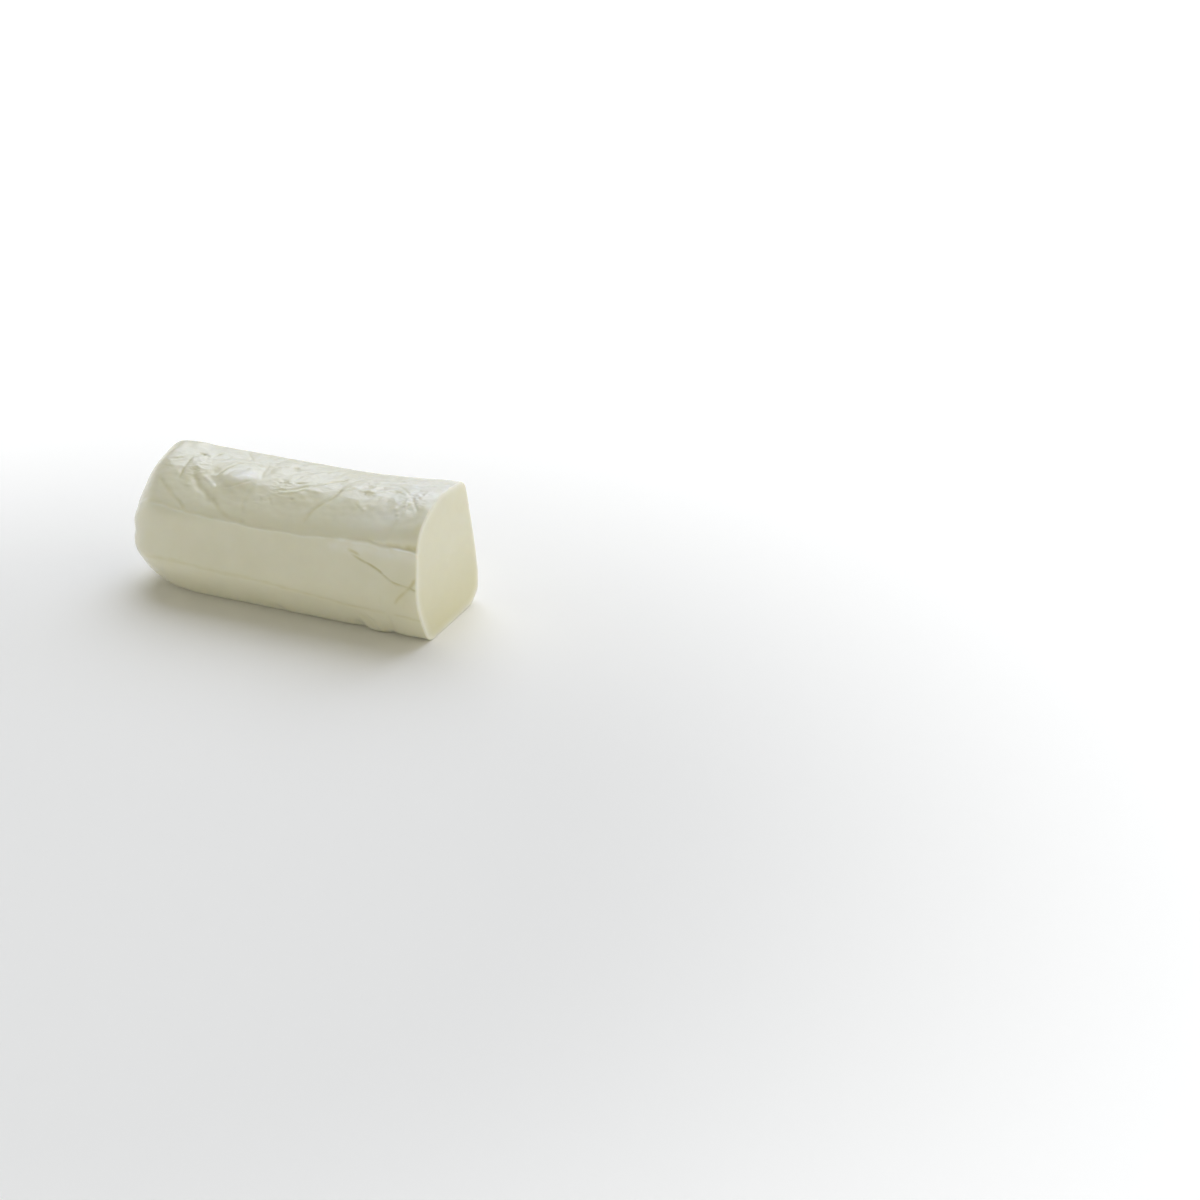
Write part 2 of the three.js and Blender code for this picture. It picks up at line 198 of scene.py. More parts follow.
# Swellings and hollows: (rise, along, round, fade along, fade round in mm).
SWELLS = [
    (0.25, 112.0, 102, 3.5, 6.0),
    (-0.40, 102.9, 101, 2.6, 4.0),
    (1.05, 87.0, 108, 4.8, 4.6),
    (1.05, 93.0, 114, 4.8, 4.8),
    (-0.40, 100.0, 115, 4.0, 3.0),
    (-0.30, 80.5, 95, 2.6, 4.0),
    (0.30, 76.0, 92, 3.5, 7.0),
    (-0.38, 70.5, 103, 1.8, 4.0),
    (-0.22, 62.3, 124, 0.9, 0.8),
    (0.32, 53.6, 110.5, 2.6, 1.2),
    (0.22, 60.0, 123, 9.0, 4.5),
    (0.25, 30.0, 120, 12.0, 6.0),
    (0.20, 98.0, 132, 4.0, 3.0),
    (0.16, 111.5, 126, 1.4, 0.8),
    (-0.15, 90.0, 137, 5.0, 5.0),
    (-0.30, 63.0, 138, 8.0, 6.0),
    (-0.28, 36.0, 87.5, 1.0, 0.9),  # a pit with a raised ring
    (0.30, 36.0, 87.5, 2.4, 1.8),
    (0.26, 15.2, 119, 0.9, 0.9),
    (0.24, 13.1, 124, 0.9, 0.8),
    (0.16, 12.2, 128, 0.9, 0.8),
    (0.18, 29.1, 123, 1.1, 0.8),
    (-0.24, 7.7, 100, 1.0, 0.8),
    (-0.18, 12.6, 87, 1.6, 0.8),
    (0.70, 1.0, 0, 16.0, 16.0),
    (0.45, 121.0, 64, 5.0, 8.0),
    (-1.00, 31.5, 236, 2.8, 3.2),  # the notch in the lower front edge
    (0.70, 24.0, 238, 4.0, 4.0),
    (-0.50, 16.5, 240, 1.6, 2.6),
    (0.30, 10.0, 238, 3.5, 3.5),
    (-0.45, 68.5, 236, 2.2, 2.4),
]

# Yellow spots, partly the cheese's own colour and partly painted shade in hollows, and pale patches below
# none, which are painted highlights: (strength, along, round, fade along, fade round in mm).
YELLOW_SPOTS_AND_HIGHLIGHTS = [
    (0.55, 103.5, 101, 2.4, 4.5),
    (0.25, 111.5, 112, 1.6, 3.5),
    (0.30, 81.0, 96, 2.2, 4.5),
    (0.40, 70.0, 108, 1.6, 5.0),
    (0.35, 62.3, 124, 1.2, 1.0),
    (0.35, 55.0, 120, 8.0, 1.8),
    (0.35, 33.0, 121, 2.6, 2.4),
    (0.35, 4.5, 118, 2.0, 4.5),
    (0.30, 1.8, 133, 1.4, 2.0),
    (0.25, 6.0, 193, 6.0, 7.0),
    (-0.40, 8.0, 84, 22.0, 12.0),
    (-0.30, 9.0, 118, 16.0, 9.0),
    (-0.60, 130.8, 145.5, 2.2, 1.1),
    (-0.50, 88.5, 105.0, 5.5, 4.5),
    (-0.34, 18.0, 130.0, 13.0, 6.5),
]

# Crumpled patches: (strength, along, round, fade along, fade round in mm).
CRUMPLES = [
    (1.00, 69, 107, 6, 6),
    (0.80, 52, 101, 11, 4),
    (0.58, 28, 97, 15, 6),
    (0.65, 10, 103, 7, 7),
    (0.90, 112, 95, 6, 9),
    (0.60, 100, 83, 9, 6),
    (0.55, 127, 95, 8, 8),
    (0.50, 60, 76, 60, 8),
    (0.25, 91, 104, 7, 5),
    (0.30, 74, 129, 4, 5),
    (0.50, 95, 30, 26, 18),
    (0.45, 35, 5, 24, 16),
    (0.35, 70, 25, 75, 26),
]
CRUMPLE_PITCH = 1.7
CRUMPLE_STRETCH = 1.8
CRUMPLE_HEIGHT = 0.42
FACET_LENGTH = 7.5
FACET_WIDTH = 5.0
FACET_HEIGHT = 0.75
FACETS_BETWEEN = 0.35  # how strong the facets are away from the crumpled patches
RIDGE_LEVEL = 0.25  # ridged noise is this less the size of plain noise
# On the crumples and facets: a painted highlight on their crests and painted yellow shade in their hollows.
CREST_HIGHLIGHT_HOLLOW_SHADE = 0.6  # of crumples and facets, whose hollows yellow
BEND = 1.6  # mm that crumples and facets stray round the log
BEND_PITCH = 6.0

WANDER = 0.35  # mm that a fold strays from its curve
WANDER_PITCH = 6.0
UNEVEN_MEAN = 0.9  # a fold's strength, and how far it swings along its curve
UNEVEN_SWING = 0.7
UNEVEN_PITCH = 3.5
LIP_STEEPNESS = 1.4

# The film lay in folds from the first of these angles to the second, with facets up to the third.
FILM_FROM = 55.0
FILM_FROM_FADE = 15.0
FILM_TO = 152.0
FILM_TO_FADE = 6.0
FACETS_TO = 124.0
FACETS_TO_FADE = 12.0

# Soft lumps, which die out at the log's underside, and the knife's waves in the cut. Each layer of
# noise: (strength, its pitch in either direction in mm, seed).
LUMPS = [(1.0, 7.0, 5.5, 21), (0.6, 3.2, 2.7, 22)]
LUMP_HEIGHT = 0.05
LUMP_HEIGHT_UNDER_FILM = 0.14  # added where the film lay in folds
LUMPS_FROM = -88.0
LUMPS_TO = 268.0
LUMPS_FADE = 12.0

KNIFE_WAVES = [(1.0, 14.0, 5.0, 5), (0.35, 4.0, 2.5, 6)]
KNIFE_SHIFT = 9.0  # pitches by which the waves are shifted
KNIFE_LEVEL = 0.6  # how far the cut's middle is sunk, as a share of the waves' depth
KNIFE_FADE = 0.5  # share of the face's radius over which the waves die out at its rim

# A painted highlight along the cut's rim: over the rim's round and a thin band of the face.
RIM_HIGHLIGHT = 0.34
RIM_HIGHLIGHT_SHARE = 0.08  # of the face's radius
RIM_HIGHLIGHT_POWER = 0.5
# Painted warm bounce light at the foot of the cut face, light thrown up from below it.
FACE_FOOT_BOUNCE = 0.5  # at the foot of the cut
FACE_BOUNCE_HEIGHT = 42.0  # up to this height
FACE_BOUNCE_FADE = 0.12  # share of the face's radius over which it ends at the rim

# The back's folds: their number, the ends between which each value is spread, in mm and degrees, and
# their grooves and crests as in FOLDS.
GOLDEN = 0.618034
BACK_FOLDS = 11
BACK_ALONG = (4.0, 126.0)
BACK_ROUND = (-55.0, 40.0)
BACK_LEAN = (-65.0, 65.0)
BACK_HALF_LENGTH = (6.0, 15.0)
BACK_BOW = (-9.0, 9.0)
BACK_GROOVE = (0.30, 1.0, 0.24, 5.0, 0.15)
BACK_CREST = (-0.28, 1.0, 0.24, 5.0, -0.15)

FLUTE_CENTRE = -42.0
FLUTE_FADE = 15.0
FLUTE_PITCH = 14.0
FLUTE_HEIGHT = 0.3
PLEATS = 11
PLEAT_HEIGHT = 0.7

WANDER_ALONG_SEED = 11
WANDER_ROUND_SEED = 12
UNEVEN_SEED = 13
BEND_SEED = 31
CRUMPLE_SEED = 61
FACET_SEED = 71
LATTICE = 256  # corners along each side of the noise's lattice, after which it repeats

# The points lie closer between these angles, over the folds and the cracks below them, and near the
# cut, up to this share of the body's length.
CLOSE_FROM = 55.0
CLOSE_FROM_FADE = 12.0
CLOSE_TO = 192.0
CLOSE_TO_FADE = 14.0
SPARSE_COLUMNS = 0.85
CLOSE_COLUMNS = 1.3
CLOSE_ROWS = 0.5
CLOSE_ROWS_TO = 0.36
CLOSE_ROWS_FADE = 0.08
SPACING_STEPS = 4001


def mix(ends, share):
    """The value a share of the way from the first end to the second."""
    return ends[0] + (ends[1] - ends[0]) * share


def fade(distance, length):
    """A bell: one at no distance, e to the -1 at one length."""
    return np.exp(-((distance / length) ** 2))


def smooth(share):
    """The smooth step 3t^2 - 2t^3 of a share held between 0 and 1."""
    held = np.clip(share, 0.0, 1.0)
    return held * held * (3.0 - 2.0 * held)


def lattice_noise(across, up, seed):
    """Gradient noise: every corner of a unit lattice has a random slope, and a point takes the smooth
    mix of its four corners' ramps. It runs from about -0.7 to 0.7."""
    slopes = np.random.default_rng(seed).uniform(0.0, 2.0 * np.pi, (LATTICE, LATTICE))
    col, row = np.floor(across).astype(int), np.floor(up).astype(int)
    dx, dy = across - col, up - row

    def ramp(i, j):
        slope = slopes[(col + i) % LATTICE, (row + j) % LATTICE]
        return np.cos(slope) * (dx - i) + np.sin(slope) * (dy - j)

    low = mix((ramp(0, 0), ramp(1, 0)), smooth(dx))
    high = mix((ramp(0, 1), ramp(1, 1)), smooth(dx))
    return mix((low, high), smooth(dy))


def layered_noise(across, up, layers, shift=0.0):
    """The sum of the layers' gradient noises, each times its strength."""
    total = 0.0
    for strength, pitch_across, pitch_up, seed in layers:
        layer = lattice_noise(across / pitch_across + shift, up / pitch_up + shift, seed)
        total = total + strength * layer
    return total


def ridged_noise(across, up, seed):
    """Sharp crests between soft hollows: the ridge level less the size of gradient noise."""
    return RIDGE_LEVEL - np.abs(lattice_noise(across, up, seed))


def patch(along, round_at, at_along, at_round, fade_along, fade_round):
    """A bell along the log times a bell round it: one at a place, fading over these lengths."""
    apart = np.radians(round_at - at_round) * MEAN_RADIUS
    return fade(along - at_along, fade_along) * fade(apart, fade_round)


def flats_radius(along, turn):
    """How far the skin stands off the axis before its relief: the power blend, over the flats, of
    cos(angle from the flat's direction) / (how far the flat stands), raised to -1 / sharpness."""
    taper = along / TAPER_LENGTH
    blend = 0.0
    for faces, stands, flare in FLATS:
        off_axis = mix(stands, taper) + flare * (fade(along, FLARE_LENGTH) - 1.0)
        towards = np.cos(turn - np.radians(mix(faces, taper)))
        blend = blend + (np.maximum(towards, 0.0) / off_axis) ** EDGE_SHARPNESS
    return blend ** (-1.0 / EDGE_SHARPNESS)


def curve_through(places):
    """Points along the smooth curve through these places, in mm of (along, round the mean girth): each
    span is the cubic whose ends lean as the chord between its neighbours does."""
    knots = np.array(places, dtype=float) * [1.0, math.radians(MEAN_RADIUS)]
    before = np.vstack([2 * knots[0] - knots[1], knots[:-2], knots[-2:-1]])[: len(knots) - 1]
    after = np.vstack([knots[2:], 2 * knots[-1] - knots[-2]])
    start, end = knots[:-1], knots[1:]
    t = (np.arange(SPAN_STEPS) / SPAN_STEPS)[None, :, None]
    lean_in, lean_out = (end - before)[:, None] / 2.0, (after - start)[:, None] / 2.0
    start, end = start[:, None], end[:, None]
    curve = (
        (2 * t**3 - 3 * t**2 + 1) * start
        + (t**3 - 2 * t**2 + t) * lean_in
        + (3 * t**2 - 2 * t**3) * end
        + (t**3 - t**2) * lean_out
    )
    return np.vstack([curve.reshape(-1, 2), knots[-1:]])


def across_line(along, girth, places):
    """The signed distance of every point from the curve through these places, and a strength that
    rises from 0 at each end of the curve to 1 within the end's taper."""
    curve = curve_through(places)
    steps = np.hypot(*np.diff(curve, axis=0).T)
    reached = np.concatenate([[0.0], np.cumsum(steps)])
    taper = min(END_TAPER, SHORT_END_TAPER * reached[-1])
    nearest = np.full(along.shape, np.inf)
    signed = np.zeros(along.shape)
    strength = np.zeros(along.shape)
    for start, line, step, run in zip(curve[:-1], np.diff(curve, axis=0), steps, reached[:-1]):
        px, py = along - start[0], girth - start[1]
        share = np.clip((px * line[0] + py * line[1]) / (step * step), 0.0, 1.0)
        apart = np.hypot(px - share * line[0], py - share * line[1])
        closer = apart < nearest
        nearest = np.where(closer, apart, nearest)
        signed = np.where(closer, apart * np.sign(line[0] * py - line[1] * px), signed)
        from_end = run + share * step
        strength = np.where(closer, np.minimum(from_end, reached[-1] - from_end) / taper, strength)
    return signed, smooth(strength)


def back_folds():
    """Short crooked folds of the back, every third one a crest. They are evenly spread round the log.
    Their other values run between their ends as the fraction of (the fold's number x a stride of its
    own x the golden ratio) does."""

    def spread(ends, i, stride):
        return mix(ends, (i * stride * GOLDEN) % 1.0)

    folds = []
    for i in range(1, BACK_FOLDS + 1):
        along = spread(BACK_ALONG, i, 1)
        round_at = mix(BACK_ROUND, i / BACK_FOLDS)
        lean = math.radians(spread(BACK_LEAN, i, 2))
        half = spread(BACK_HALF_LENGTH, i, 3)
        d_along = half * math.cos(lean)
        d_round = math.degrees(half * math.sin(lean) / MEAN_RADIUS)
        start = (along - d_along, round_at - d_round)
        middle = (along, round_at + spread(BACK_BOW, i, 5))
        end = (along + d_along, round_at + d_round)
        folds.append((BACK_GROOVE if i % 3 else BACK_CREST, [start, middle, end]))
    return folds


def skin_relief(along, turn, narrowing):
    """The relief outwards, the tint and the crumpledness of the skin. The tint is a yellow, partly the
    cheese's own and partly painted shade, less the painted highlights. A fold is a bell-shaped groove
    with a lip on one side, which rises within the half width and sinks back as e to the -distance /
    length. Swellings, yellow spots with painted highlight patches, and crumpled patches are bells over the
    skin. Crumples are ridged noise stretched along the log, and facets are coarser ridged noise; their
    crests carry a painted highlight and their hollows painted shade."""
    round_at = np.degrees(turn)
    girth = turn * MEAN_RADIUS
    wandering = along / WANDER_PITCH, girth / WANDER_PITCH
    wander_along = WANDER * lattice_noise(*wandering, WANDER_ALONG_SEED)
    wander_round = WANDER * lattice_noise(*wandering, WANDER_ROUND_SEED)
    swing = lattice_noise(along / UNEVEN_PITCH, girth / UNEVEN_PITCH, UNEVEN_SEED)
    unevenness = UNEVEN_MEAN + UNEVEN_SWING * swing
    relief = np.zeros(along.shape)
    yellow, pale = np.zeros(along.shape), np.zeros(along.shape)
    for (depth, width, lip, lip_length, tint), places in FOLDS + back_folds():
        across, strength = across_line(along + wander_along, girth + wander_round, places)
        strength = strength * unevenness
        bell = fade(across, width) * strength
        relief -= depth * bell
        rise = 0.5 + 0.5 * np.tanh(LIP_STEEPNESS * across / width)
        relief += lip * strength * rise * np.exp(-np.maximum(across, 0.0) / lip_length)
        yellow = np.maximum(yellow, tint * bell)
        pale = np.maximum(pale, -tint * bell)
    for rise, *place in SWELLS:
        relief += rise * patch(along, round_at, *place)
    for tint, *place in YELLOW_SPOTS_AND_HIGHLIGHTS:
        spot = patch(along, round_at, *place)
        yellow, pale = np.maximum(yellow, tint * spot), np.maximum(pale, -tint * spot)
    crumpled = np.zeros(along.shape)
    for strength, *place in CRUMPLES:
        crumpled = np.maximum(crumpled, strength * patch(along, round_at, *place))

    bent = girth + BEND * lattice_noise(along / BEND_PITCH, girth / BEND_PITCH, BEND_SEED)
    length = CRUMPLE_PITCH * CRUMPLE_STRETCH
    ridged = ridged_noise(along / length, bent / CRUMPLE_PITCH, CRUMPLE_SEED)
    relief += CRUMPLE_HEIGHT * ridged * crumpled
    film_side = smooth((round_at - FILM_FROM) / FILM_FROM_FADE) * smooth((FILM_TO - round_at) / FILM_TO_FADE)
    top_side = film_side * smooth((FACETS_TO - round_at) / FACETS_TO_FADE)
    facets = ridged_noise(along / FACET_LENGTH, bent / FACET_WIDTH, FACET_SEED)
    faceted = facets * np.maximum(crumpled, FACETS_BETWEEN * top_side)
    relief += FACET_HEIGHT * faceted
    # painted highlight on the crests of the crumples and facets, and painted yellow shade in their hollows
    pale = pale + CREST_HIGHLIGHT_HOLLOW_SHADE * (ridged * crumpled + faceted)

    lumpy = smooth((round_at - LUMPS_FROM) / LUMPS_FADE) * smooth((LUMPS_TO - round_at) / LUMPS_FADE)
    lump_height = LUMP_HEIGHT + LUMP_HEIGHT_UNDER_FILM * film_side
    relief += lumpy * lump_height * layered_noise(along, girth, LUMPS)
    flute = np.cos((round_at - FLUTE_CENTRE) / FLUTE_PITCH * 2 * np.pi)
    relief += FLUTE_HEIGHT * flute * fade(round_at - FLUTE_CENTRE, FLUTE_FADE)
    gathered = (1.0 - narrowing) * np.minimum(1.0, 2.0 * narrowing)
    relief = relief * narrowing + PLEAT_HEIGHT * np.cos(PLEATS * turn) * gathered
    return relief, (yellow - pale) * narrowing, crumpled


def spaced(count, low, high, density):
    """Places from low to just short of high, evenly spaced in the running sum of the density."""
    fine = np.linspace(low, high, SPACING_STEPS)
    weight = density(fine)
    run = np.concatenate([[0.0], np.cumsum((weight[1:] + weight[:-1]) / 2.0)])
    return np.interp(np.arange(count) / count * run[-1], run, fine)


def column_density(round_at):
    """The sparse density, plus the close one times the smooth steps into and out of the close angles."""
    close = smooth((round_at - CLOSE_FROM) / CLOSE_FROM_FADE) * smooth((CLOSE_TO - round_at) / CLOSE_TO_FADE)
    return SPARSE_COLUMNS + CLOSE_COLUMNS * close


def row_density(share):
    """One, plus a half times the smooth step towards the cut, where the finest cracks are."""
    return 1.0 + CLOSE_ROWS * smooth((CLOSE_ROWS_TO - share) / CLOSE_ROWS_FADE)


def log_surface(size):
    """Rows of points from the middle of the cut face over its rim and along the skin to the dome.

    Skin: radius = flats' radius x narrowing + relief, where narrowing is 1 along the body and runs over
    the dome as cos(arc)^(2/squareness) while the distance along runs as sin(arc)^(2/squareness).
    Rim: a quarter round. Face: the rim's ring drawn in to its middle, with a knife's slight waves."""
    length = (NODE_HIGH.x - NODE_LOW.x) / MM
    power = 2.0 / DOME_SQUARENESS
    turn = np.radians(spaced(size.columns, UNDERSIDE, UNDERSIDE + 360.0, column_density))[None, :]
    rim = size.rim_round
    depth = DOME_DEPTH + DOME_DEPTH_TO_BACK * np.cos(turn) + DOME_DEPTH_TO_TOP * np.sin(turn)
    rim_turn = np.linspace(0.0, np.pi / 2.0, size.rim_rows)[:, None]
    body = np.append(spaced(size.body_rows, 0.0, 1.0, row_density)[1:], 1.0)[:, None]
    arc = np.linspace(0.0, np.pi / 2.0, size.dome_rows)[1:-1, None]
    along = np.concatenate([
        rim * (1.0 - np.cos(rim_turn)) * np.ones_like(turn),
        rim + body * (length - depth - rim),
        length - depth + depth * np.sin(arc) ** power,
    ])
    inset = np.concatenate([rim * (1.0 - np.sin(rim_turn)), np.zeros_like(body), np.zeros_like(arc)])
    narrowing = np.concatenate([np.ones_like(rim_turn), np.ones_like(body), np.cos(arc) ** power])
    turns = np.broadcast_to(turn, along.shape)
    relief, yellow, crumpled = skin_relief(along, turns, narrowing)
    radius = (flats_radius(along, turns) - inset) * narrowing + relief * size.relief
    tip = 1.0 - narrowing
    back = radius * np.cos(turns) + DOME_TIP_BACK * tip
    up = np.maximum(AXIS_HEIGHT + radius * np.sin(turns) + DOME_TIP_UP * tip, 0.0)

    share = (np.arange(1, size.face_rows) / size.face_rows)[:, None]
    face_back = share * back[:1]
    face_up = AXIS_HEIGHT + share * (up[:1] - AXIS_HEIGHT)
    wave = layered_noise(face_back, face_up, KNIFE_WAVES, KNIFE_SHIFT)
    face_along = size.knife_waves * (wave + KNIFE_LEVEL) * smooth((1.0 - share) / KNIFE_FADE)
    along = np.concatenate([face_along, along])
    back = np.concatenate([face_back, back])
    up = np.concatenate([face_up, up])
    # the painted highlight along the rim, and painted warm bounce light at the foot of the face
    rim_highlight = RIM_HIGHLIGHT * np.cos(rim_turn) ** RIM_HIGHLIGHT_POWER
    yellow[: size.rim_rows] = np.minimum(yellow[: size.rim_rows], -rim_highlight)
    foot = smooth(1.0 - face_up / FACE_BOUNCE_HEIGHT) * smooth((1.0 - share) / FACE_BOUNCE_FADE)
    near_rim = smooth((share - 1.0 + RIM_HIGHLIGHT_SHARE) / RIM_HIGHLIGHT_SHARE)
    yellow = np.concatenate([FACE_FOOT_BOUNCE * foot - RIM_HIGHLIGHT * near_rim, yellow])
    crumpled = np.concatenate([np.zeros_like(face_back), crumpled])
    rows = np.stack([-along, back, up], axis=-1)
    face_pole = np.array([-face_along[0].mean(), 0.0, AXIS_HEIGHT])
    dome_pole = np.array([-length, DOME_TIP_BACK, AXIS_HEIGHT + DOME_TIP_UP])
    return rows, face_pole, dome_pole, yellow, crumpled


def closed_tube_faces(rows, columns):
    """Quads between neighbouring rows of rings, then a fan over each end's pole."""
    row, col = np.meshgrid(np.arange(rows - 1), np.arange(columns), indexing="ij")
    here, below = row * columns + col, (row + 1) * columns + col
    next_col = (col + 1) % columns
    quads = np.stack([here, below, below - col + next_col, here - col + next_col], axis=-1)
    ring = np.arange(columns)
    following = (ring + 1) % columns
    first_pole, last_pole = rows * columns, rows * columns + 1
    last = (rows - 1) * columns
    first = np.stack([np.full(columns, first_pole), ring, following], axis=-1)
    end = np.stack([last + following, last + ring, np.full(columns, last_pole)], axis=-1)
    return quads.reshape(-1, 4), np.concatenate([first, end])


def mesh_object(name, points, quads, triangles):
    """A smooth-shaded mesh object of these points and faces, at the origin."""
    mesh = bpy.data.meshes.new(name)
    corners = np.concatenate([quads.ravel(), triangles.ravel()])
    starts = np.concatenate([np.arange(len(quads)) * 4, quads.size + np.arange(len(triangles)) * 3])
    mesh.vertices.add(len(points))
    mesh.vertices.foreach_set("co", points.astype(np.float32).ravel())
    mesh.loops.add(len(corners))
    mesh.loops.foreach_set("vertex_index", corners.astype(np.int32))
    mesh.polygons.add(len(starts))
    mesh.polygons.foreach_set("loop_start", starts.astype(np.int32))
    mesh.update(calc_edges=True)
    mesh.validate()
    mesh.shade_smooth()
    made = bpy.data.objects.new(name, mesh)
    bpy.context.scene.collection.objects.link(made)
    return made


# ---------------------------------------------------------------- materials

CHEESE_IOR = 1.4
LIGHT_REACH = (1.0, 0.85, 0.55)  # how far red, green and blue light sink in, as shares of the depth
WHEY_ROUGHNESS = 0.22
SKIN_CREAMS = (0xE1DDBE, 0xE9E6CD)
FACE_CREAMS = (0xE3DFC4, 0xE8E5CD)
# the yellow of grooves, cracks and spots, partly the cheese's own and partly painted shade; also the painted
# shade in crumple hollows and the painted warm bounce light at the cut's foot
YELLOW_SHADE_AND_BOUNCE = 0xD4CD9C
# the colour of painted highlights: on the seam's ledge, on crests, along the cut's rim and on lit patches
PAINTED_HIGHLIGHT_PALE = 0xF6F6F0

# Patterns: their sizes and depths in mm.
CLOUD_SIZE = 11.11
GRAIN_SIZE = 1.111  # finer on the real skin, and drawn this coarse so that it shows
GRAIN_DEPTH = 0.2
CREASE_SIZE = 2.381
CREASE_STRETCH = (0.6, 1.0, 1.0)
CREASE_DEPTH = 0.9
CURD_SIZE = 6.25
CURD_RELIEF = 0.5  # of the pinholes' depth
PINHOLE_SPACING = 5.882
CUT_DEPTH = 0.3
MOTTLE_SIZE = 333.3
MOTTLE = 0.995  # the floor's darker paint, as a share of its colour
GLOSS_SPREAD = 0.07  # by which the skin's roughness differs either way
CLOUD_RANGE = (0.3, 0.7)  # of the clouds' noise, over which it does so
PINHOLE_EDGE = (0.03, 0.11)  # where a pinhole's bottom ends and its wall is up, as shares of the spacing

# The floor's glow, an emission that stands in for background lights, in metres: the middle of the
# floor where it does not glow, and how far off it the glow begins and is full.
GLOW_CENTRE = (0.03, -0.2, 0.0)
GLOW_FROM = 0.15
GLOW_FULL = 0.45


def linear(hex_colour):
    """A linear RGBA colour from an sRGB hex value such as 0xF0EDDC."""
    channels = [(hex_colour >> shift & 255) / 255.0 for shift in (16, 8, 0)]
    return [c / 12.92 if c <= 0.04045 else ((c + 0.055) / 1.055) ** 2.4 for c in channels] + [1.0]


def pitches(size):
    """A pattern's scale: how many times this size in mm goes into a metre."""
    return 1.0 / (size * MM)


def add_node(tree, kind, settings=None, **inputs):
    """Adds a node. Settings are its properties. An input, named with _ for a space or as i and its
    number, takes a value or another node's output socket."""
    node = tree.nodes.new(kind)
    for key, value in (settings or {}).items():
        setattr(node, key, value)
    for key, value in inputs.items():
        numbered = key[0] == "i" and key[1:].isdigit()
        socket = node.inputs[int(key[1:]) if numbered else key.replace("_", " ")]
        if isinstance(value, bpy.types.NodeSocket):
            tree.links.new(value, socket)
        else:
            socket.default_value = value
    return node


def new_material(name):
    """An empty node material and its tree."""
    material = bpy.data.materials.new(name)
    material.use_nodes = True
    material.node_tree.nodes.clear()
    return material, material.node_tree


def tint_shade_and_highlight(tree, base):
    """The base colour, drawn towards a yellow where the mesh says so and towards a pale painted highlight
    where it says less than none. The yellow is partly the cheese's own and partly painted shade, and at
    the cut's foot it is painted warm bounce light.
    """
    yellow = add_node(tree, "ShaderNodeAttribute", {"attribute_name": "yellow_shade_and_highlight"})
    toward_yellow = add_node(tree, "ShaderNodeMix", {"data_type": "RGBA"}, Factor=yellow.outputs["Fac"],
                    i6=base, i7=linear(YELLOW_SHADE_AND_BOUNCE))
    # a tint below none draws the colour towards the painted highlight
    paleness = add_node(tree, "ShaderNodeMath", {"operation": "MULTIPLY"}, i0=yellow.outputs["Fac"], i1=-1.0)
    paled = add_node(tree, "ShaderNodeMix", {"data_type": "RGBA"}, Factor=paleness.outputs["Value"],
                     i6=toward_yellow.outputs[2], i7=linear(PAINTED_HIGHLIGHT_PALE))
    return paled.outputs[2]


def creamy(tree, pattern, creams):
    """The base colour, between two creams as the pattern says."""
    cream = add_node(tree, "ShaderNodeMix", {"data_type": "RGBA"}, Factor=pattern.outputs["Fac"],
                     i6=linear(creams[0]), i7=linear(creams[1]))
    return tint_shade_and_highlight(tree, cream.outputs[2])


def let_light_in(shader, looks):
    """Sets how much light sinks into the cheese, and how far."""
    shader.inputs["Subsurface Weight"].default_value = looks.milkiness
    shader.inputs["Subsurface Radius"].default_value = LIGHT_REACH
    shader.inputs["Subsurface Scale"].default_value = looks.light_depth


def film_set_skin(looks):
    """Fresh mozzarella that set against a plastic film: a moist, dense milk gel with an IOR near 1.4.
    The eye gets soft highlights, light that sinks in a few millimetres, and butter-yellow hollows, whose
    yellow is partly painted shade, under crests with painted highlights."""
    material, tree = new_material("film_set_mozzarella_skin")
    place = add_node(tree, "ShaderNodeTexCoord").outputs["Object"]
    clouds = add_node(tree, "ShaderNodeTexNoise", Vector=place,
                      Scale=pitches(CLOUD_SIZE), Detail=3.0, Roughness=0.5)
    grain = add_node(tree, "ShaderNodeTexNoise", Vector=place,
                     Scale=pitches(GRAIN_SIZE), Detail=2.0, Roughness=0.6)
    drawn_out = add_node(tree, "ShaderNodeVectorMath", {"operation": "MULTIPLY"},
                         i0=place, i1=CREASE_STRETCH)
    creases = add_node(tree, "ShaderNodeTexNoise", Vector=drawn_out.outputs["Vector"],
                       Scale=pitches(CREASE_SIZE), Detail=1.0, Roughness=0.5, Distortion=0.8)
    crumpled = add_node(tree, "ShaderNodeAttribute", {"attribute_name": "crumpled"})
    crinkle = add_node(tree, "ShaderNodeMath", {"operation": "MULTIPLY"}, i0=creases.outputs["Fac"],
                       i1=crumpled.outputs["Fac"])
    gloss = add_node(tree, "ShaderNodeMapRange", Value=clouds.outputs["Fac"],
                     From_Min=CLOUD_RANGE[0], From_Max=CLOUD_RANGE[1],
                     To_Min=looks.skin_roughness - GLOSS_SPREAD, To_Max=looks.skin_roughness + GLOSS_SPREAD)
    fine = add_node(tree, "ShaderNodeBump", Height=grain.outputs["Fac"],
                    Strength=0.12, Distance=GRAIN_DEPTH * MM)
    bump = add_node(tree, "ShaderNodeBump", Height=crinkle.outputs["Value"],
                    Strength=0.4, Distance=CREASE_DEPTH * MM, Normal=fine.outputs["Normal"])
    shader = add_node(tree, "ShaderNodeBsdfPrincipled", Base_Color=creamy(tree, clouds, SKIN_CREAMS),
                      Roughness=gloss.outputs["Result"], IOR=CHEESE_IOR, Normal=bump.outputs["Normal"],
                      Coat_Normal=bump.outputs["Normal"])
    let_light_in(shader, looks)
    shader.inputs["Coat Weight"].default_value = looks.whey_film
    shader.inputs["Coat Roughness"].default_value = WHEY_ROUGHNESS
    output = add_node(tree, "ShaderNodeOutputMaterial")
    tree.links.new(shader.outputs["BSDF"], output.inputs["Surface"])
    return material


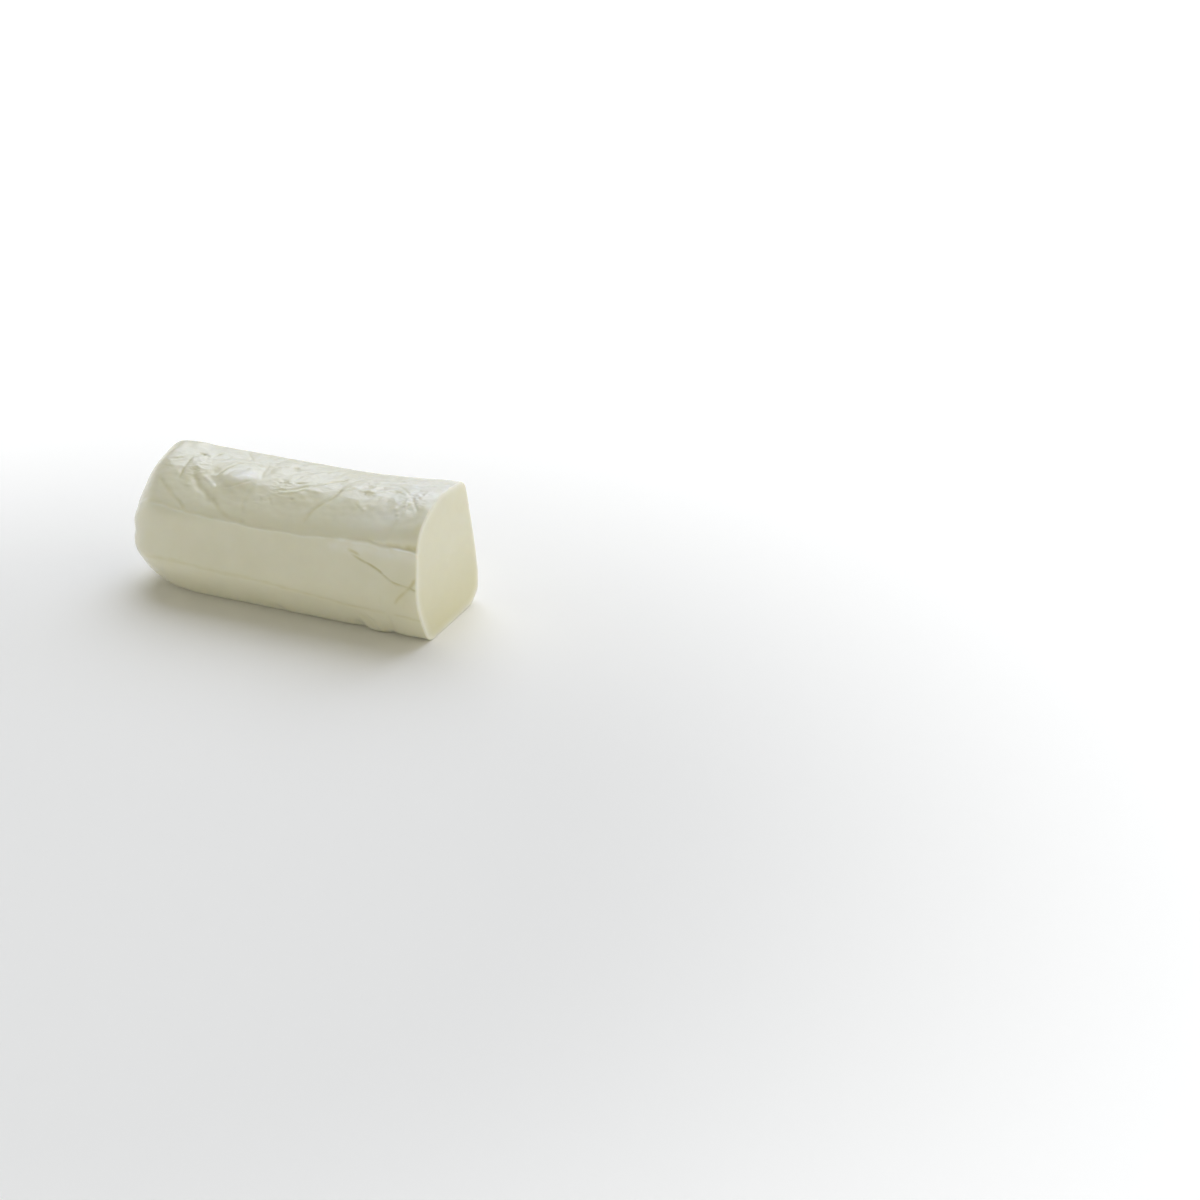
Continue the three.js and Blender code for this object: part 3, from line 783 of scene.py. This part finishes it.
def knife_cut_face(looks):
    """Fresh mozzarella sliced with a plain blade: an even, damp face of pulled curd. The eye gets a
    softer sheen than on the skin, faint curd marks and a few pinholes. Its colour carries a painted
    highlight along the rim and painted warm bounce light at its foot."""
    material, tree = new_material("knife_cut_mozzarella")
    place = add_node(tree, "ShaderNodeTexCoord").outputs["Object"]
    curd = add_node(tree, "ShaderNodeTexNoise", Vector=place,
                    Scale=pitches(CURD_SIZE), Detail=4.0, Roughness=0.55)
    pits = add_node(tree, "ShaderNodeTexVoronoi", Vector=place,
                    Scale=pitches(PINHOLE_SPACING), Randomness=1.0)
    pinholes = add_node(tree, "ShaderNodeMapRange", {"interpolation_type": "SMOOTHSTEP"},
                        Value=pits.outputs["Distance"],
                        From_Min=PINHOLE_EDGE[0], From_Max=PINHOLE_EDGE[1], To_Min=0.0, To_Max=1.0)
    height = add_node(tree, "ShaderNodeMath", {"operation": "MULTIPLY_ADD"}, i0=curd.outputs["Fac"],
                      i1=CURD_RELIEF, i2=pinholes.outputs["Result"])
    bump = add_node(tree, "ShaderNodeBump", Height=height.outputs["Value"],
                    Strength=0.25, Distance=CUT_DEPTH * MM)
    shader = add_node(tree, "ShaderNodeBsdfPrincipled", Base_Color=creamy(tree, curd, FACE_CREAMS),
                      Roughness=looks.face_roughness, IOR=CHEESE_IOR, Normal=bump.outputs["Normal"])
    let_light_in(shader, looks)
    output = add_node(tree, "ShaderNodeOutputMaterial")
    tree.links.new(shader.outputs["BSDF"], output.inputs["Surface"])
    return material


def matt_floor(colour, glow):
    """Matt white paint with the faintest mottle, which glows beyond its middle: an emission that stands
    in for background lights.
    """
    material, tree = new_material("matt_white_floor")
    place = add_node(tree, "ShaderNodeTexCoord").outputs["Object"]
    mottle = add_node(tree, "ShaderNodeTexNoise", Vector=place, Scale=pitches(MOTTLE_SIZE), Detail=2.0)
    paint = add_node(tree, "ShaderNodeMix", {"data_type": "RGBA"}, Factor=mottle.outputs["Fac"],
                     i6=[c * MOTTLE for c in colour] + [1.0], i7=[*colour, 1.0])
    reach = add_node(tree, "ShaderNodeVectorMath", {"operation": "DISTANCE"}, i0=place, i1=GLOW_CENTRE)
    lit = add_node(tree, "ShaderNodeMapRange", {"interpolation_type": "SMOOTHSTEP"},
                   Value=reach.outputs["Value"], From_Min=GLOW_FROM, From_Max=GLOW_FULL,
                   To_Min=0.0, To_Max=glow)
    shader = add_node(tree, "ShaderNodeBsdfPrincipled", Base_Color=paint.outputs[2], Roughness=0.9,
                      Emission_Color=linear(0xFFFFFF), Emission_Strength=lit.outputs["Result"])
    shader.inputs["Specular IOR Level"].default_value = 0.1
    output = add_node(tree, "ShaderNodeOutputMaterial")
    tree.links.new(shader.outputs["BSDF"], output.inputs["Surface"])
    return material


# ---------------------------------------------------------------- settings


class LogSize(PropertyGroup):
    """Sizes and mesh density of the log, whose outer dimensions come from its solid."""

    rim_round: FloatProperty(name="Rim round", description="Round of the cut's rim, mm",
                             default=0.75, min=0.2)
    relief: FloatProperty(name="Relief", description="Strength of the folds and creases", default=1.0)
    knife_waves: FloatProperty(name="Knife waves", description="Depth of the cut's waves, mm", default=0.22)
    columns: IntProperty(name="Columns", description="Points round the log", default=330)
    body_rows: IntProperty(name="Body rows", description="Rings from the rim to the dome", default=240)
    dome_rows: IntProperty(name="Dome rows", description="Rings over the dome", default=34)
    rim_rows: IntProperty(name="Rim rows", description="Rings over the rim's round", default=6)
    face_rows: IntProperty(name="Face rows", description="Rings over the cut face", default=16)


class CheeseLooks(PropertyGroup):
    """Finish of the cheese."""

    skin_roughness: FloatProperty(name="Skin roughness", description="Of the film-set skin", default=0.40)
    face_roughness: FloatProperty(name="Face roughness", description="Of the knife-cut face", default=0.46)
    milkiness: FloatProperty(name="Milkiness", description="Share of light that sinks in", default=0.55)
    light_depth: FloatProperty(name="Light depth", description="How far light sinks in",
                               default=0.0028, unit="LENGTH")
    whey_film: FloatProperty(name="Whey film", description="Weight of the wet coat on the skin", default=0.8)


class StudioSetup(PropertyGroup):
    """The camera, as it stands in the photograph's perspective, and the light."""

    camera_place: FloatVectorProperty(name="Camera", description="Place of the camera", subtype="TRANSLATION",
                                      default=(0.4765, -0.7693, 0.4273))
    camera_azimuth: FloatProperty(name="Azimuth", description="Turn of the view from +Y towards -X",
                                  default=math.radians(23.8), subtype="ANGLE")
    camera_pitch: FloatProperty(name="Pitch", description="Downward tilt of the view",
                                default=math.radians(25.6), subtype="ANGLE")
    lens: FloatProperty(name="Lens", description="Focal length on a 36 mm sensor, mm", default=71.67)
    key_strength: FloatProperty(name="Key light", description="Broad light from behind and above",
                                default=1.98)
    key_colour: FloatVectorProperty(name="Key colour", description="Slightly cool", subtype="COLOR",
                                    default=(0.94, 1.0, 1.20))
    fill_strength: FloatProperty(name="Fill light", description="Broad light from the cut's side",
                                 default=0.53)
    fill_colour: FloatVectorProperty(name="Fill colour", description="Slightly warm", subtype="COLOR",
                                     default=(1.04, 1.0, 0.9))
    room_strength: FloatProperty(name="Room light", description="Light from all round", default=0.185)
    room_colour: FloatVectorProperty(name="Room colour", description="Slightly warm", subtype="COLOR",
                                     default=(1.0, 0.99, 0.88))
    floor_colour: FloatVectorProperty(name="Floor", description="Colour of the floor", subtype="COLOR",
                                      default=(0.93, 0.91, 0.84))
    # the floor's glow is an emission that stands in for background lights
    floor_glow: FloatProperty(name="Floor glow", description="Background lights on the floor", default=0.29)
    floor_radius: FloatProperty(name="Floor radius", default=3.5, unit="LENGTH",
                                description="Out to where the floor's rim begins to rise")
    floor_rise: FloatProperty(name="Floor rise", description="Height of the floor's curved rim",
                              default=1.8, unit="LENGTH")


# ---------------------------------------------------------------- the log


class MESH_OT_mozzarella_log(Operator):
    """Build the cut mozzarella log in the place of its solid"""

    bl_idname = "mesh.mozzarella_log"
    bl_label = "Mozzarella Log"

    def execute(self, context):
        size = context.scene.mozzarella_size
        looks = context.scene.mozzarella_looks
        rows, face_pole, dome_pole, yellow, crumpled = log_surface(size)
        count, columns = rows.shape[:2]
        points = np.concatenate([rows.reshape(-1, 3), [face_pole, dome_pole]])
        middle_back = (points[:, 1].min() + points[:, 1].max()) / 2.0
        points = points * MM + [NODE_HIGH.x, -middle_back * MM, NODE_LOW.z]
        quads, triangles = closed_tube_faces(count, columns)
        log = mesh_object("mozzarella", points, quads, triangles)
        mesh = log.data
        for name, on_rows in (("yellow_shade_and_highlight", yellow), ("crumpled", crumpled)):
            layer = mesh.attributes.new(name, "FLOAT", "POINT")
            layer.data.foreach_set("value", np.append(on_rows.ravel(), [0.0, 0.0]).astype(np.float32))
        mesh.materials.append(film_set_skin(looks))
        mesh.materials.append(knife_cut_face(looks))
        # the cut as far as its rim, and the fan over its middle
        on_face = np.zeros(len(mesh.polygons), dtype=np.int32)
        on_face[: (size.face_rows + size.rim_rows - 2) * columns] = 1
        on_face[len(quads): len(quads) + columns] = 1
        mesh.polygons.foreach_set("material_index", on_face)
        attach(log, "root")
        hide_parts(NODE)
        return {"FINISHED"}


# ---------------------------------------------------------------- the stage

FLOOR_COLUMNS = 96
FLOOR_ROWS = 16  # over its curved rim
FLOOR_INNER_RING = 0.25  # of its radius
KEY_FROM = (-0.10, 0.59, 0.80)
KEY_SPREAD = 66.0  # degrees, as is the fill's
FILL_FROM = (0.78, 0.10, 0.60)
FILL_SPREAD = 60.0
SENSOR_WIDTH = 36.0  # mm
NEAREST_SEEN = 0.01  # metres
FARTHEST_SEEN = 50.0


def seamless_floor(radius, rise):
    """A round floor whose rim curves up all round: flat to the radius, then height = rise x
    (1 - cos(turn)) while the reach beyond the radius = rise x 2 sin(turn), as turn runs to a right angle."""
    around = np.linspace(0.0, 2.0 * np.pi, FLOOR_COLUMNS, endpoint=False)[None, :]
    turn = np.linspace(0.0, np.pi / 2.0, FLOOR_ROWS)
    reach = np.concatenate([[radius * FLOOR_INNER_RING], radius + 2.0 * rise * np.sin(turn)])[:, None]
    height = np.concatenate([[0.0], rise * (1.0 - np.cos(turn))])[:, None]
    rows = np.stack([reach * np.cos(around), reach * np.sin(around), height + 0.0 * around], axis=-1)
    points = np.concatenate([rows.reshape(-1, 3), [[0.0, 0.0, 0.0]]])
    quads, ends = closed_tube_faces(len(rows), rows.shape[1])
    return points, quads, ends[: rows.shape[1]]


def broad_light(name, strength, colour, direction, spread):
    """A far-off soft light that shines from the direction and spreads over so many degrees of sky."""
    light = bpy.data.lights.new(name, "SUN")
    light.energy = strength
    light.color = colour
    light.angle = math.radians(spread)
    lamp = bpy.data.objects.new(name, light)
    lamp.rotation_euler = (-Vector(direction)).to_track_quat("-Z", "Y").to_euler()
    bpy.context.scene.collection.objects.link(lamp)


class SCENE_OT_mozzarella_stage(Operator):
    """Set out the floor, the light and the camera"""

    bl_idname = "scene.mozzarella_stage"
    bl_label = "Mozzarella Stage"

    def execute(self, context):
        setup = context.scene.mozzarella_studio
        floor = mesh_object("floor", *seamless_floor(setup.floor_radius, setup.floor_rise))
        floor.data.materials.append(matt_floor(setup.floor_colour, setup.floor_glow))

        world = bpy.data.worlds.new("pale_room")
        context.scene.world = world
        world.use_nodes = True
        room = world.node_tree.nodes["Background"]
        room.inputs["Color"].default_value = (*setup.room_colour, 1.0)
        room.inputs["Strength"].default_value = setup.room_strength
        broad_light("key", setup.key_strength, setup.key_colour, KEY_FROM, KEY_SPREAD)
        broad_light("fill", setup.fill_strength, setup.fill_colour, FILL_FROM, FILL_SPREAD)

        camera = bpy.data.cameras.new("photo_camera")
        camera.lens = setup.lens
        camera.sensor_width = SENSOR_WIDTH
        camera.clip_start = NEAREST_SEEN
        camera.clip_end = FARTHEST_SEEN
        eye = bpy.data.objects.new("photo_camera", camera)
        context.scene.collection.objects.link(eye)
        eye.location = setup.camera_place
        eye.rotation_euler = (math.pi / 2.0 - setup.camera_pitch, 0.0, setup.camera_azimuth)
        context.scene.camera = eye
        context.scene.view_settings.view_transform = "Standard"
        return {"FINISHED"}


# ---------------------------------------------------------------- the add-on


class VIEW3D_PT_mozzarella(Panel):
    """Lists the steps that build the log and its stage"""

    bl_label = "Mozzarella"
    bl_idname = "VIEW3D_PT_mozzarella"
    bl_space_type = "VIEW_3D"
    bl_region_type = "UI"
    bl_category = "Mozzarella"

    def draw(self, context):
        scene = context.scene
        for group, operator in (
            (scene.mozzarella_size, MESH_OT_mozzarella_log),
            (scene.mozzarella_looks, None),
            (scene.mozzarella_studio, SCENE_OT_mozzarella_stage),
        ):
            column = self.layout.column(align=True)
            for name in group.__annotations__:
                column.prop(group, name)
            if operator:
                column.operator(operator.bl_idname)


SETTINGS = {
    "mozzarella_size": LogSize,
    "mozzarella_looks": CheeseLooks,
    "mozzarella_studio": StudioSetup,
}
CLASSES = (*SETTINGS.values(), MESH_OT_mozzarella_log, SCENE_OT_mozzarella_stage, VIEW3D_PT_mozzarella)


def register():
    """Registers the classes and gives the scene its settings."""
    for cls in CLASSES:
        bpy.utils.register_class(cls)
    for name, group in SETTINGS.items():
        setattr(bpy.types.Scene, name, PointerProperty(type=group))


def unregister():
    """Takes back what register gave."""
    for name in SETTINGS:
        delattr(bpy.types.Scene, name)
    for cls in reversed(CLASSES):
        bpy.utils.unregister_class(cls)


def main():
    """Builds the log and its stage."""
    register()
    bpy.ops.mesh.mozzarella_log()
    bpy.ops.scene.mozzarella_stage()


if __name__ == "__main__":
    main()
